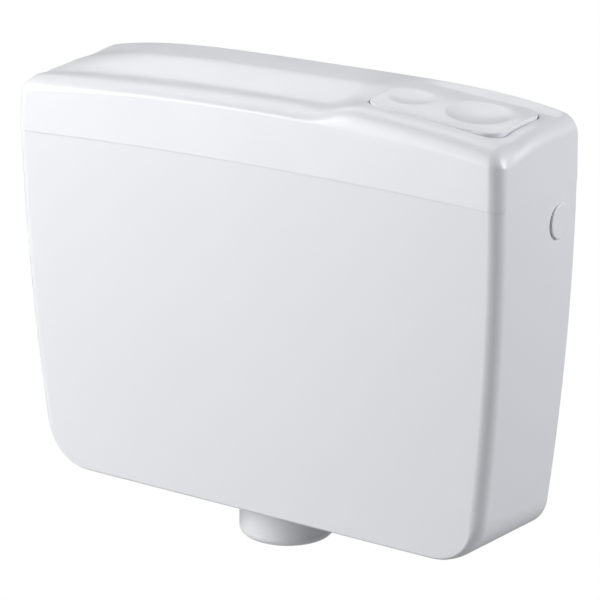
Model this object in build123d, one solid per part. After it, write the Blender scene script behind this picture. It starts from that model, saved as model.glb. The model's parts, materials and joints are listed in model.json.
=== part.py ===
from build123d import *
import os
from math import asin, cos, degrees, hypot, pi, radians, sin, tan

# A wall-hung plastic toilet cistern with a rocking dual-flush plate.
# Millimetres. X runs to the right along the wall, Y = 0 is the wall and the
# front faces -Y, and Z = 0 is the line of the two wall screws.

# Tank
tank_width = 436.0
tank_depth = 115.0
tank_height = 280.5
tank_wall = 3.0
screw_drop = 18.0
side_draw_in = 17.9
side_bulge = 4.85
front_lean = 10.9
tank_corner_radius = 38.0
tank_edge_radius = 10.5
seam_arch = 4.8
seam_gap = 0.4
overrun = 20.0
touch_gap = 0.3
hair_gap = 0.05

# Wall screws
screw_spacing = 240.0
screw_hole_radius = 4.0
screw_boss_radius = 10.0
screw_boss_height = 2.0

# Lid
lid_margin = 0.5
lid_wall = 2.6
lid_back_rise = 60.9
lid_back_drop = 12.7
lid_ledge_rise = 52.0
lid_ledge_drop = 8.0
lid_front_rise = 44.5
lid_front_drop = 13.0
lid_round_drop = 0.36
lid_shoulder_dip = 0.8
lid_end_dip = 5.0
lid_lip_depth = 7.0
lid_lip_wall = 1.8
lid_lip_shelf = 2.0
lid_lip_gap = 0.7

# Rocking plate and its well in the lid
plate_length = 112.0
plate_depth = 72.0
plate_centre_x = 143.0
plate_centre_y = -53.5
plate_centre_rise = 55.4
plate_fall = 4.7
plate_lean = 3.6
plate_corner_radius = 15.0
plate_gap = 1.3
plate_wall = 2.2
plate_edge_radius = 1.0
well_wall = 2.0
well_floor_rise = 39.0
well_blend_start = 49.5
well_blend_end = 93.5
small_dish_x = 108.5
small_dish_y = -55.0
small_dish_radius = 17.0
small_dish_depth = 2.2
large_dish_x = 164.5
large_dish_y = -53.0
large_dish_radius = 25.0
large_dish_depth = 3.2
plate_pin_radius = 2.0
plate_pin_drop = 8.6
plate_ear_wall = 3.5
plate_ear_radius = 5.0
plate_ear_setback = 9.0

# Flush valve, on the tank floor. Its radii are shares of half the floor's clear depth.
valve_depth_share = 0.467
base_flange_share = 0.877
seat_share = 0.673
seat_mouth_share = 0.55
tube_share = 0.306
tube_flange_share = 0.489
seal_share = 0.632
retainer_share = 0.449
tower_share = 0.846
vent_offset_share = 0.408
shank_radius = 29.8
shank_bore = 23.0
shank_length = 20.8
base_flange_height = 4.0
gasket_height = 2.5
seat_height = 10.0
tube_wall = 2.0
tube_top_drop = 57.0
tube_tail = 5.0
tube_flange_height = 2.5
seal_height = 3.0
retainer_height = 3.0
float_cup_height = 55.0
float_cup_wall = 1.8
float_cup_rise = 9.0
tower_height = 119.0
tower_leg_radius = 2.8
tower_ring_margin = 0.4
tower_leg_count = 4
tower_ring_height = 5.0
tower_bush_wall = 3.4
lift_rod_radius = 4.0
lift_rod_collar_radius = 9.0
lift_rod_collar_height = 3.5
lift_rod_head = 4.0
lift_plug_height = 10.0
lift_plug_wall = 2.2
lift_plug_lip = 2.0
vent_hole_radius = 2.0
vent_rim_height = 2.0
vent_rim_radius = 4.0
vent_seal_radius = 4.8
vent_seal_height = 1.6
vent_rod_radius = 2.5
vent_collar_radius = 5.5
vent_collar_height = 3.0
vent_rod_head = 3.0
vent_boss_radius = 5.0

# Outlet under the tank
outlet_nut_radius = 38.3
outlet_nut_height = 28.8
outlet_nut_skirt = 2.6
outlet_nut_lip = 3.6
outlet_nut_edge = 1.5
flush_pipe_radius = 25.5
back_nut_radius = 34.0
back_nut_height = 8.0
back_nut_flat = 32.0

# Levers and the bracket that carries them
full_foot_x = 187.5
half_foot_x = 98.5
full_pivot_x = 133.2
half_pivot_x = 50.0
full_pivot_rise = 11.0
half_pivot_rise = 15.0
full_pad_rise = 21.0
half_pad_rise = 26.0
full_fork_rise = 9.0
half_fork_rise = 17.0
lever_width = 6.0
lever_height = 8.0
lever_hub_radius = 6.5
lever_pin_radius = 3.0
fork_reach = 9.0
fork_height = 4.5
fork_prong = 4.0
fork_gap = 0.8
fork_crown_radius = 20.0
pad_length = 16.0
pad_width = 13.0
pad_height = 3.5
foot_radius = 4.0
bracket_back_left = 40.0
bracket_back_right = 100.0
bracket_back_drop = 30.0
bracket_shelf_rise = -8.0
bracket_wall = 3.5
bracket_arm_width = 18.0
bracket_ear_gap = 0.4
peg_radius = 3.0
peg_length = 7.0
peg_inset = 7.0
peg_clip_radius = 5.5
peg_clip_height = 1.4

# Water inlet on the left and the plug on the right
inlet_y = -26.0
inlet_drop = 25.0
inlet_hole_radius = 10.8
inlet_shank_radius = 10.48
inlet_shank_length = 25.0
inlet_groove_radius = 9.4
inlet_groove_width = 1.2
inlet_bore = 6.0
inlet_washer_radius = 16.0
inlet_washer_height = 2.5
inlet_flange_radius = 15.5
inlet_flange_height = 4.0
inlet_barrel_radius = 12.5
inlet_barrel_length = 60.5
arm_pivot_inset = 12.0
inlet_nut_height = 8.0
inlet_nut_flat = 30.0
piston_radius = 8.1
piston_bore_gap = 0.1
piston_length = 25.0
piston_seal_radius = 6.4
piston_seal_height = 3.0
nozzle_height = 4.0
nozzle_snout = 3.0
nozzle_snout_radius = 4.0
nozzle_orifice = 2.2
piston_travel_angle = 17.0
arm_pivot_drop = 18.0
arm_tail_length = 22.0
arm_width = 5.0
arm_thickness = 6.0
arm_hub_radius = 5.5
arm_pin_radius = 2.0
arm_reach = 81.0
arm_fall = 4.0
arm_slot_side = 1.0
arm_ear_wall = 3.5
arm_eye_radius = 5.0
adjuster_radius = 2.5
adjuster_length = 66.0
adjuster_head_radius = 5.5
adjuster_head_height = 4.0
float_radius = 22.0
float_height = 50.0
float_edge_radius = 6.0
float_set_y = -6.0
float_wall = 2.0
silencer_radius = 7.5
silencer_wall = 1.4
silencer_length = 190.0
silencer_inset = 24.5
silencer_stub = 10.0
plug_head_radius = 13.25
plug_head_height = 1.8
plug_edge_radius = 0.9
plug_stem_radius = 9.8
plug_stem_length = 14.0
plug_nut_height = 6.0
plug_washer_height = 2.0

# Values worked out from the driving dimensions
half_width = tank_width / 2
seam = screw_drop
tank_bottom = seam - tank_height
floor = tank_bottom + tank_wall
lean_angle = degrees(asin(front_lean / hypot(front_lean, tank_height)))
seam_radius = (half_width**2 + seam_arch**2) / (2 * seam_arch)
inlet_z = seam - inlet_drop
valve_y = -valve_depth_share * tank_depth
valve_room = (tank_depth - front_lean) / 2 - tank_wall
base_flange_radius = base_flange_share * valve_room
seat_radius = seat_share * valve_room
seat_mouth_radius = seat_mouth_share * valve_room
float_cup_radius = seat_radius
tube_radius = tube_share * valve_room
tube_flange_radius = tube_flange_share * valve_room
seal_radius = seal_share * valve_room
retainer_radius = retainer_share * valve_room
tower_radius = tower_share * valve_room
vent_offset = vent_offset_share * valve_room
gasket_top = floor + gasket_height
flange_top = gasket_top + base_flange_height
seat_top = flange_top + seat_height
seal_bottom = seat_top + touch_gap
seal_top = seal_bottom + seal_height
tube_flange_top = seal_top + tube_flange_height
tube_bottom = seal_bottom - retainer_height - tube_tail
tube_top = seam - tube_top_drop
cup_bottom = tube_flange_top + float_cup_rise
cup_top = cup_bottom + float_cup_height
tower_top = flange_top + tower_height
vent_y = valve_y - vent_offset
plate_z = seam + plate_centre_rise
plate_pin_z = plate_z - plate_pin_drop
fork_top = seam + full_fork_rise
half_fork_top = seam + half_fork_rise
arm_pivot_z = inlet_z - arm_pivot_drop


def along_x(radius, start, end, y, z):
    """A round bar along X."""
    return Pos((start + end) / 2, y, z) * Cylinder(radius, abs(end - start), rotation=(0, 90, 0))


def along_y(radius, start, end, x, z):
    """A round bar along Y."""
    return Pos(x, (start + end) / 2, z) * Cylinder(radius, abs(end - start), rotation=(90, 0, 0))


def along_z(radius, start, end, x, y):
    """A round bar along Z."""
    return Pos(x, y, (start + end) / 2) * Cylinder(radius, abs(end - start))


def block(low, high):
    """A box between two corners."""
    size = [abs(b - a) for a, b in zip(low, high)]
    middle = [(a + b) / 2 for a, b in zip(low, high)]
    return Pos(*middle) * Box(*size)


def side_plate(points, y, width):
    """A flat plate with an outline in X and Z, width thick and centred on y."""
    face = make_face(Polyline(*[(px, y + width / 2, pz) for px, pz in points], close=True))
    return extrude(face, amount=width, dir=(0, -1, 0))


def turned(points, x, y):
    """A solid turned about a vertical line from a list of (radius, height)."""
    face = make_face(Polyline(*[(pr, 0, pz) for pr, pz in points], close=True))
    return Pos(x, y, 0) * revolve(face, Axis.Z)


# Tank and lid


def below_seam(extra):
    """The space under the arched seam, raised by extra."""
    centre_z = seam + seam_arch - seam_radius
    return along_y(seam_radius + extra, overrun, -tank_depth - overrun, 0, centre_z)


def tank_outline(inset):
    """The front view of the tank, with no top edge yet, drawn in by inset."""
    mid_z = (seam + tank_bottom) / 2
    mid_x = half_width - side_draw_in / 2 + side_bulge
    low_x = half_width - side_draw_in
    high = seam + lid_back_rise
    right = ThreePointArc((half_width, 0, seam), (mid_x, 0, mid_z), (low_x, 0, tank_bottom))
    left = ThreePointArc((-low_x, 0, tank_bottom), (-mid_x, 0, mid_z), (-half_width, 0, seam))
    base = Line(right @ 1, left @ 0)
    rise_left = Line(left @ 1, (-half_width, 0, high))
    top = Line(rise_left @ 1, (half_width, 0, high))
    rise_right = Line(top @ 1, right @ 0)
    face = make_face([right, base, left, rise_left, top, rise_right])
    corners = face.vertices().filter_by(lambda v: v.Z < tank_bottom + tank_wall)
    face = fillet(corners, tank_corner_radius)
    if inset:
        face = offset(face, amount=-inset)
    return face


def tank_form(inset):
    """The whole outer form of the tank, or the form inset from it, with its top left high."""
    shift = inset / cos(radians(lean_angle))
    body = extrude(tank_outline(inset), amount=tank_depth + overrun, dir=(0, -1, 0))
    high = seam + lid_back_rise
    slope = front_lean / tank_height
    front_high = -tank_depth + shift - slope * (high - seam)
    front_low = -tank_depth + shift + slope * (seam - tank_bottom)
    side = [(0, -inset, high), (0, front_high, high), (0, front_low, tank_bottom), (0, -inset, tank_bottom)]
    face = make_face(Polyline(*side, close=True))
    slab = extrude(face, amount=half_width, dir=(1, 0, 0), both=True)
    body = body & slab
    front = body.faces().sort_by(Axis.Y)[0]
    edges = front.edges().filter_by(lambda e: e.center().Z < high - tank_wall)
    return fillet(edges, tank_edge_radius - inset)


def inlet_hole(side):
    """The round hole in one side wall of the tank."""
    return along_x(
        inlet_hole_radius, side * (half_width - overrun), side * (half_width + overrun), inlet_y, inlet_z
    )


def peg_places():
    """The two pegs on the back wall that carry the lever bracket."""
    peg_z = seam + bracket_shelf_rise - bracket_back_drop / 2
    return [(bracket_back_left + peg_inset, peg_z), (bracket_back_right - peg_inset, peg_z)]


def make_tank():
    tank = (tank_form(0) & below_seam(0)) - tank_form(tank_wall)
    for side in (-1, 1):
        x = side * screw_spacing / 2
        tank += along_y(screw_boss_radius, -tank_wall, -tank_wall - screw_boss_height, x, 0)
        tank -= along_y(screw_hole_radius, overrun, -overrun, x, 0)
        tank -= inlet_hole(side)
    for x, z in peg_places():
        tank += along_y(peg_radius, -tank_wall, -tank_wall - peg_length, x, z)
    tank -= along_z(shank_radius + touch_gap, tank_bottom - overrun, floor + overrun, 0, valve_y)
    return tank


def plate_rise(x, y):
    """Height above the seam of the sloping surface that the plate lies in."""
    fall = tan(radians(plate_fall)) * (x - plate_centre_x)
    return plate_centre_rise - fall + tan(radians(plate_lean)) * (y - plate_centre_y)


def blend(x):
    """How much of the lid's section follows the plate's slope, from 0 to 1."""
    share = (x - well_blend_start) / (well_blend_end - well_blend_start)
    share = min(max(share, 0), 1)
    return share * share * (3 - 2 * share)


shoulder_share = 0.29
slope_share = 0.5
ledge_start_share = 0.68
ledge_end_share = 0.76
plate_ledge_share = 0.06
slope_height_share = 0.52


def lid_section(x, inset, draw):
    """The lid's outline at one place along X, with its top and front drawn in by draw."""
    place = abs(x) / half_width
    back = lid_back_rise - lid_back_drop * place**4
    dip = lid_end_dip * place**6
    ledge = lid_ledge_rise - lid_ledge_drop * place**2 - dip / 2
    front = lid_front_rise - lid_front_drop * place**2.2
    depth = tank_depth + lid_margin
    crest_share = ledge_end_share + plate_ledge_share * blend(x)
    levels = [
        (shoulder_share, back - lid_shoulder_dip - dip),
        (slope_share, ledge + slope_height_share * (back - ledge) - dip / 2),
        (ledge_start_share, ledge + lid_shoulder_dip),
        (crest_share, ledge),
    ]
    points = [(0, back)]
    for share, level in levels:
        y = -share * depth
        flush = plate_rise(x, y) - lid_shoulder_dip - dip
        points.append((y, level + blend(x) * (flush - level)))
    crest = points[-1][1]
    corner = 1 - sin(pi / 4)
    points.append((-depth * (1 - corner * (1 - crest_share)), crest - lid_round_drop * (crest - front)))
    points.append((-depth, front))
    placed = [Vector(x, y, seam + z - inset - draw) for y, z in points]
    placed[0] = Vector(x, -inset, placed[0].Z)
    placed[-2] = placed[-2] + Vector(0, (inset + draw) / 2, inset / 3)
    placed[-1] = Vector(x, -depth + inset + draw, seam + front - draw)
    top = Spline(*placed, tangents=[(0, -1, 0), (0, 0, -1)])
    low = seam - lid_lip_depth
    return make_face([
        top,
        Line(top @ 1, (x, -depth + inset + draw, low)),
        Line((x, -depth + inset + draw, low), (x, -inset, low)),
        Line((x, -inset, low), top @ 0),
    ])


station_shares = (-1, -0.9, -0.75, -0.5, -0.25, 0, 0.14, 0.26, 0.38, 0.5, 0.65, 0.8, 0.92, 1)
round_turns = (18, 36, 54, 72, 90)


def lid_form(inset):
    """The lid's outer form, or the form inset from it, with rounded ends."""
    radius = tank_edge_radius + lid_margin - inset
    shoulder = half_width + lid_margin - inset - radius
    form = loft([lid_section(share * shoulder, inset, 0) for share in station_shares])
    for side in (-1, 1):
        sections = [lid_section(side * shoulder, inset, 0)]
        for turn in round_turns:
            reach = shoulder + radius * sin(radians(turn))
            draw = radius * (1 - cos(radians(turn)))
            sections.append(lid_section(side * reach, inset, draw))
        form += loft(sections)
    return form


def plate_outline(grow):
    """The plate's outline from above, grown by grow."""
    return Pos(plate_centre_x, plate_centre_y) * RectangleRounded(
        plate_length + 2 * grow, plate_depth + 2 * grow, plate_corner_radius + grow
    )


def plate_column(grow, low, high):
    """The plate's outline drawn up from low to high."""
    return Pos(0, 0, low) * extrude(plate_outline(grow), amount=high - low)


def rim_column(inset, low, high):
    """The plan of the tank's rim, drawn in by inset and drawn up from low to high."""
    face = make_face(Polyline(
        (inset - half_width, -inset),
        (inset - half_width, inset - tank_depth),
        (half_width - inset, inset - tank_depth),
        (half_width - inset, -inset),
        close=True,
    ))
    corners = face.vertices().sort_by(Axis.Y)[:2]
    face = fillet(corners, tank_edge_radius - inset)
    return Pos(0, 0, low) * extrude(face, amount=high - low)


def make_lid(outer):
    lid = outer - lid_form(lid_wall) - below_seam(seam_gap)
    well_low = seam + well_floor_rise
    well_high = seam + lid_back_rise
    well = plate_column(plate_gap + well_wall, well_low, well_high) & outer
    lid += well
    outside = tank_wall + lid_lip_gap
    low = seam - lid_lip_depth
    middle = seam + seam_gap
    high = seam + seam_arch + lid_lip_shelf
    lip = rim_column(outside, low, high) + rim_column(lid_wall / 2, middle, high)
    lip -= rim_column(outside + lid_lip_wall, low - overrun, high + overrun)
    arch = below_seam(seam_gap) - rim_column(outside, low - overrun, high + overrun)
    lid += lip - arch
    lid -= plate_column(plate_gap, well_low - overrun, well_high + overrun)
    back = plate_centre_y + plate_depth / 2 + plate_gap + well_wall
    front = plate_centre_y - plate_depth / 2 - plate_gap - well_wall
    lid -= along_y(
        plate_pin_radius + hair_gap / 2, back + touch_gap, front - touch_gap, plate_centre_x, plate_pin_z
    )
    return lid


def under_plate_top(drop):
    """The space under the plate's sloping top, lowered by drop."""
    size = tank_width
    slab = Pos(0, 0, -size / 2) * Box(size, size, size)
    place = Pos(plate_centre_x, plate_centre_y, plate_z - drop)
    return place * Rot(0, plate_fall, 0) * Rot(plate_lean, 0, 0) * slab


def dish(x, y, radius, depth, wall):
    """The ball that a finger dish is cut with, grown by wall."""
    ball = (radius**2 + depth**2) / (2 * depth)
    top = seam + plate_rise(x, y)
    return Pos(x, y, top - depth + ball) * Sphere(ball + wall)


def make_push_plate():
    skirt_bottom = plate_pin_z - plate_ear_radius / 2
    high = seam + lid_back_rise + overrun
    shell = plate_column(0, skirt_bottom, high) & under_plate_top(0)
    rim = shell.faces().sort_by(Axis.Z)[-1].edges()
    shell = fillet(rim, plate_edge_radius)
    hollow = plate_column(-plate_wall, skirt_bottom - overrun, high) & under_plate_top(plate_wall)
    dishes = [
        (small_dish_x, small_dish_y, small_dish_radius, small_dish_depth),
        (large_dish_x, large_dish_y, large_dish_radius, large_dish_depth),
    ]
    for x, y, radius, depth in dishes:
        hollow -= dish(x, y, radius, depth, plate_wall)
        shell -= dish(x, y, radius, depth, 0)
    plate = shell - hollow
    reach = plate_depth / 2 - plate_ear_setback
    for side in (-1, 1):
        y = plate_centre_y + side * reach
        ear = along_y(
            plate_ear_radius, y - plate_ear_wall / 2, y + plate_ear_wall / 2, plate_centre_x, plate_pin_z
        )
        web = block(
            (plate_centre_x - plate_ear_radius, y - plate_ear_wall / 2, plate_pin_z),
            (plate_centre_x + plate_ear_radius, y + plate_ear_wall / 2, high),
        )
        plate += ear + (web & under_plate_top(plate_edge_radius))
    feet = [(full_foot_x, valve_y, full_pad_rise), (half_foot_x, vent_y, half_pad_rise)]
    for x, y, pad in feet:
        low = seam + pad + touch_gap + touch_gap
        stem = along_z(foot_radius, low + foot_radius, high, x, y) & shell
        tip = Pos(x, y, low + foot_radius) * Sphere(foot_radius)
        plate += stem + along_z(foot_radius, low + foot_radius, skirt_bottom, x, y) + tip
    plate -= along_y(plate_pin_radius + hair_gap, overrun, -tank_depth, plate_centre_x, plate_pin_z)
    return plate


def make_plate_pivot_pin():
    reach = plate_depth / 2 + plate_gap + well_wall
    return along_y(
        plate_pin_radius, plate_centre_y + reach, plate_centre_y - reach, plate_centre_x, plate_pin_z
    )


# Flush valve


def make_valve_base():
    bottom = tank_bottom - shank_length
    points = [
        (shank_bore, bottom),
        (shank_radius, bottom),
        (shank_radius, gasket_top),
        (base_flange_radius, gasket_top),
        (base_flange_radius, flange_top),
        (seat_radius, flange_top),
        (seat_radius, seat_top - seal_height),
        (seat_radius - seal_height, seat_top),
        (seat_mouth_radius, seat_top),
        (shank_bore, flange_top),
    ]
    return turned(points, 0, valve_y)


def ring(outer, inner, low, high, x, y):
    """A flat ring."""
    return along_z(outer, low, high, x, y) - along_z(inner, low - overrun, high + overrun, x, y)


def make_base_gasket():
    return ring(base_flange_radius, shank_radius + hair_gap, floor, gasket_top, 0, valve_y)


def leg_angle(index):
    """The compass angle of one leg of the guide tower."""
    return (index + 1 / 2) * 2 * pi / tower_leg_count


def make_guide_tower():
    foot_low = flange_top
    ring_inner = tower_radius - 2 * tower_leg_radius - 2 * tower_ring_margin
    orbit = (tower_radius + ring_inner) / 2
    tower = ring(tower_radius, ring_inner, foot_low, foot_low + tower_ring_height, 0, valve_y)
    tower += ring(tower_radius, ring_inner, tower_top - tower_ring_height, tower_top, 0, valve_y)
    bush_radius = tube_radius + touch_gap + tower_bush_wall
    spoke = tower_leg_radius
    for index in range(tower_leg_count):
        angle = leg_angle(index)
        tower += along_z(
            tower_leg_radius, foot_low, tower_top, orbit * cos(angle), valve_y + orbit * sin(angle)
        )
        bar = block((0, -spoke / 2, tower_top - tower_ring_height), (orbit, spoke / 2, tower_top))
        tower += Pos(0, valve_y) * Rot(0, 0, degrees(angle)) * bar
    front_bar = block(
        (-spoke / 2, vent_y, tower_top - tower_ring_height),
        (spoke / 2, valve_y, tower_top),
    )
    tower += front_bar + along_z(vent_boss_radius, tower_top - 2 * tower_ring_height, tower_top, 0, vent_y)
    tower += along_z(bush_radius, tower_top - 2 * tower_ring_height, tower_top, 0, valve_y)
    tower -= along_z(tube_radius + touch_gap, foot_low, tower_top + overrun, 0, valve_y)
    tower -= along_z(vent_rod_radius + touch_gap, foot_low, tower_top + overrun, 0, vent_y)
    return tower


def make_overflow_tube():
    bore = tube_radius - tube_wall
    tube = ring(tube_radius, bore, tube_bottom, tube_top, 0, valve_y)
    return tube + ring(tube_flange_radius, bore, seal_top, tube_flange_top, 0, valve_y)


def make_valve_seal():
    return ring(seal_radius, tube_radius + hair_gap, seal_bottom, seal_top, 0, valve_y)


def make_seal_retainer():
    return ring(
        retainer_radius, tube_radius + hair_gap, seal_bottom - retainer_height, seal_bottom, 0, valve_y
    )


def make_flush_float():
    hub = tube_radius + hair_gap
    points = [
        (hub, cup_bottom),
        (hub + float_cup_wall, cup_bottom),
        (hub + float_cup_wall, cup_top - float_cup_wall),
        (float_cup_radius - float_cup_wall, cup_top - float_cup_wall),
        (float_cup_radius - float_cup_wall, cup_bottom),
        (float_cup_radius, cup_bottom),
        (float_cup_radius, cup_top - float_cup_wall),
        (float_cup_radius - float_cup_wall, cup_top),
        (hub, cup_top),
    ]
    cup = turned(points, 0, valve_y)
    cup += along_z(vent_rim_radius, cup_top - float_cup_wall, cup_top + vent_rim_height, 0, vent_y)
    cup += ring(hub + float_cup_wall, hub, tube_flange_top, cup_bottom, 0, valve_y)
    return cup - along_z(vent_hole_radius, cup_bottom, cup_top + overrun, 0, vent_y)


def make_lift_rod():
    bore = tube_radius - tube_wall - hair_gap
    low = tube_top - lift_plug_height
    plug = ring(bore, bore - lift_plug_wall, low, tube_top, 0, valve_y)
    plug += ring(tube_radius, bore - lift_plug_wall, tube_top, tube_top + lift_plug_lip, 0, valve_y)
    for index in range(tower_leg_count - 1):
        bar = block((0, -lift_plug_wall / 2, low), (bore - lift_plug_wall / 2, lift_plug_wall / 2, tube_top))
        plug += Pos(0, valve_y) * Rot(0, 0, index * 360 / (tower_leg_count - 1)) * bar
    collar_low = fork_top + touch_gap
    collar_high = collar_low + lift_rod_collar_height
    plug += along_z(lift_rod_radius, low, collar_high + lift_rod_head, 0, valve_y)
    return plug + along_z(lift_rod_collar_radius, collar_low, collar_high, 0, valve_y)


def make_vent_rod():
    low = cup_top + vent_rim_height + touch_gap + vent_seal_height
    collar_low = half_fork_top + touch_gap
    collar_high = collar_low + vent_collar_height
    rod = along_z(vent_rod_radius, low, collar_high + vent_rod_head, 0, vent_y)
    rod += along_z(vent_seal_radius, low, low + vent_collar_height, 0, vent_y)
    return rod + along_z(vent_collar_radius, collar_low, collar_high, 0, vent_y)


def make_vent_seal():
    low = cup_top + vent_rim_height + touch_gap
    return along_z(vent_seal_radius, low, low + vent_seal_height, 0, vent_y)


# Outlet under the tank


def make_outlet_back_nut():
    high = tank_bottom
    nut = extrude(RegularPolygon(back_nut_flat, 8, major_radius=False), amount=-back_nut_height)
    nut = Pos(0, valve_y, high) * nut
    nut &= along_z(back_nut_radius, high - back_nut_height, high, 0, valve_y)
    return nut - along_z(shank_radius + hair_gap, high - overrun, high + overrun, 0, valve_y)


def make_flush_pipe_nut():
    high = tank_bottom - touch_gap
    low = tank_bottom - outlet_nut_height
    recess = tank_bottom - back_nut_height - touch_gap
    points = [
        (flush_pipe_radius, low),
        (outlet_nut_radius - outlet_nut_edge, low),
        (outlet_nut_radius, low + outlet_nut_edge),
        (outlet_nut_radius, high),
        (outlet_nut_radius - outlet_nut_skirt, high),
        (outlet_nut_radius - outlet_nut_skirt, recess),
        (shank_radius + hair_gap, recess),
        (shank_radius + hair_gap, low + outlet_nut_lip),
        (flush_pipe_radius, low + outlet_nut_lip),
    ]
    return turned(points, 0, valve_y)


def make_flush_pipe_seal():
    low = tank_bottom - outlet_nut_height + outlet_nut_lip
    high = tank_bottom - shank_length
    points = [
        (flush_pipe_radius + hair_gap, low),
        (shank_radius - hair_gap, low),
        (shank_radius - hair_gap, high - hair_gap),
        (flush_pipe_radius + tube_wall, high - hair_gap),
    ]
    return turned(points, 0, valve_y)


# Levers


def make_lever(pivot_x, pivot_z, y, foot_x, pad_top, tip_top, rod_radius):
    """A lever with a fork round a rod at X = 0, a pivot hub and a pad under a foot."""
    slot = rod_radius + fork_gap
    near = y + slot + fork_prong
    far = y - slot - fork_prong
    tip = block((-fork_reach, far, tip_top - fork_height), (0, near, tip_top))
    tip &= along_y(fork_crown_radius, far, near, 0, tip_top - fork_crown_radius)
    prongs = tip + block((0, far, tip_top - fork_height), (fork_reach + fork_prong, near, tip_top))
    prongs -= block((-fork_reach - overrun, y - slot, tip_top - overrun), (0, y + slot, tip_top + overrun))
    prongs -= along_z(slot, tip_top - overrun, tip_top + overrun, 0, y)
    half = lever_height / 2
    pad_low = pad_top - pad_height
    rail = [
        (fork_reach, tip_top - fork_height),
        (fork_reach, tip_top),
        (pivot_x, pivot_z + half),
        (foot_x - pad_length / 2, pad_low + pad_height / 2),
        (foot_x + pad_length / 2, pad_low + pad_height / 2),
        (foot_x + pad_length / 2, pad_low),
        (foot_x - pad_length / 2, pad_low - half),
        (pivot_x, pivot_z - half),
    ]
    lever = prongs + side_plate(rail, y, lever_width)
    lever += along_y(lever_hub_radius, y - lever_width / 2, y + lever_width / 2, pivot_x, pivot_z)
    lever += block(
        (foot_x - pad_length / 2, y - pad_width / 2, pad_low),
        (foot_x + pad_length / 2, y + pad_width / 2, pad_top),
    )
    return lever - along_y(lever_pin_radius + hair_gap, y - overrun, y + overrun, pivot_x, pivot_z)


def lever_cheek():
    """Half the clear width between the two ears that hold a lever."""
    return lever_width / 2 + bracket_ear_gap


def make_lever_pin(x, z, y):
    reach = lever_cheek() + bracket_wall
    return along_y(lever_pin_radius, y - reach, y + reach, x, z)


def lever_ears(x, y, pivot_z, shelf_top):
    """Two ears of the bracket on each side of a lever."""
    ears = []
    for side in (-1, 1):
        middle = y + side * (lever_cheek() + bracket_wall / 2)
        near = middle - bracket_wall / 2
        far = middle + bracket_wall / 2
        ear = along_y(lever_hub_radius, near, far, x, pivot_z)
        ear += block(
            (x - lever_hub_radius, near, shelf_top - bracket_wall), (x + lever_hub_radius, far, pivot_z)
        )
        ears.append(
            ear - along_y(lever_pin_radius + hair_gap / 2, near - overrun, far + overrun, x, pivot_z)
        )
    return ears


def make_lever_bracket():
    top = seam + bracket_shelf_rise
    low = top - bracket_back_drop
    back = -tank_wall
    bracket = block((bracket_back_left, back - bracket_wall, low), (bracket_back_right, back, top))
    half_arm = bracket_arm_width / 2
    half_front = vent_y - lever_cheek() - bracket_wall
    full_front = valve_y - lever_cheek() - bracket_wall
    full_back = valve_y + lever_cheek() + bracket_wall
    shelf_low = top - bracket_wall
    bracket += block(
        (half_pivot_x - half_arm, half_front, shelf_low),
        (half_pivot_x + half_arm, back - bracket_wall, top),
    )
    arm_right = bracket_back_right
    bracket += block(
        (arm_right - bracket_arm_width, full_front, shelf_low), (arm_right, back - bracket_wall, top)
    )
    bracket += block(
        (arm_right - bracket_arm_width, full_front, shelf_low), (full_pivot_x + half_arm, full_back, top)
    )
    inset = half_arm - bracket_wall / 2
    for x in (half_pivot_x + inset, arm_right - half_arm - inset):
        web = Polyline(
            (x, back - bracket_wall, low),
            (x, back - bracket_wall, shelf_low),
            (x, full_back, shelf_low),
            close=True,
        )
        bracket += extrude(make_face(web), amount=bracket_wall / 2, dir=(1, 0, 0), both=True)
    for ear in lever_ears(half_pivot_x, vent_y, seam + half_pivot_rise, top):
        bracket += ear
    for ear in lever_ears(full_pivot_x, valve_y, seam + full_pivot_rise, top):
        bracket += ear
    for x, z in peg_places():
        bracket -= along_y(peg_radius + hair_gap, 0, -overrun, x, z)
    return bracket


def make_bracket_clips():
    clips = []
    high = -tank_wall - bracket_wall
    for x, z in peg_places():
        clip = along_y(peg_clip_radius, high, high - peg_clip_height, x, z)
        clips.append(clip - along_y(peg_radius + hair_gap, 0, -overrun, x, z))
    return Compound(children=clips)


# Water inlet


def side_x(z):
    """The half width of the tank at one height, on the arc of its side."""
    chord = hypot(side_draw_in, tank_height)
    sag = side_bulge * tank_height / chord
    radius = (chord**2 / 4 + sag**2) / (2 * sag)
    slope = side_draw_in / chord
    rise = tank_height / chord
    centre_x = half_width - side_draw_in / 2 + (sag - radius) * rise
    centre_z = (seam + tank_bottom) / 2 + (radius - sag) * slope
    return centre_x + (radius**2 - (z - centre_z) ** 2) ** 0.5


inner_wall_x = side_x(inlet_z - inlet_washer_radius) - tank_wall - hair_gap
washer_x = inlet_washer_height - inner_wall_x
flange_x = washer_x + inlet_flange_height
barrel_x = flange_x + inlet_barrel_length
arm_pivot_x = barrel_x - arm_pivot_inset
piston_back_x = arm_pivot_x - arm_width / 2 - touch_gap
piston_front_x = piston_back_x - piston_length
seal_front_x = piston_front_x - piston_seal_height
piston_stroke = radians(piston_travel_angle) * arm_tail_length
snout_x = seal_front_x - piston_stroke - touch_gap
nozzle_x = snout_x - nozzle_snout - nozzle_height


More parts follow.
